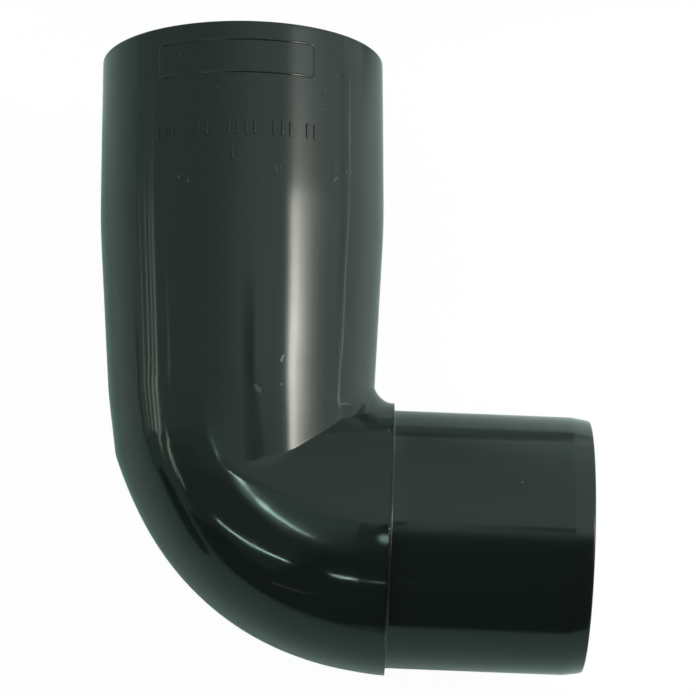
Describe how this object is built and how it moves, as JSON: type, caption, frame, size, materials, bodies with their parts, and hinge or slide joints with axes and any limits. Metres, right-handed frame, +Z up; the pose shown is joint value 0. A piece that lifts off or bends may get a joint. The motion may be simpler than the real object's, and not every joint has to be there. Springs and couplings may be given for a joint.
{
  "type": "downpipe bend",
  "caption": "One-piece moulded plastic bend for a round rainwater downpipe, with a plain slip socket and a shouldered spigot, turning the run by nearly a right angle.",
  "frame": {"origin": "middle of the bottom of the bounding box, with the bend lying on its side as it comes to rest", "axes": "+Y out of the socket's mouth along the socket, +X towards the spigot, which points 2.5 degrees below +X in the plane of the bend, +Z up and square to the plane of the bend"},
  "size_m": [0.1022, 0.1308, 0.0599],
  "materials": {
    "anthracite_plastic": "dark green-grey semi-gloss moulded plastic"
  },
  "bodies": {
    "root": {"downpipe_bend": "anthracite_plastic"}
  },
  "joints": []
}
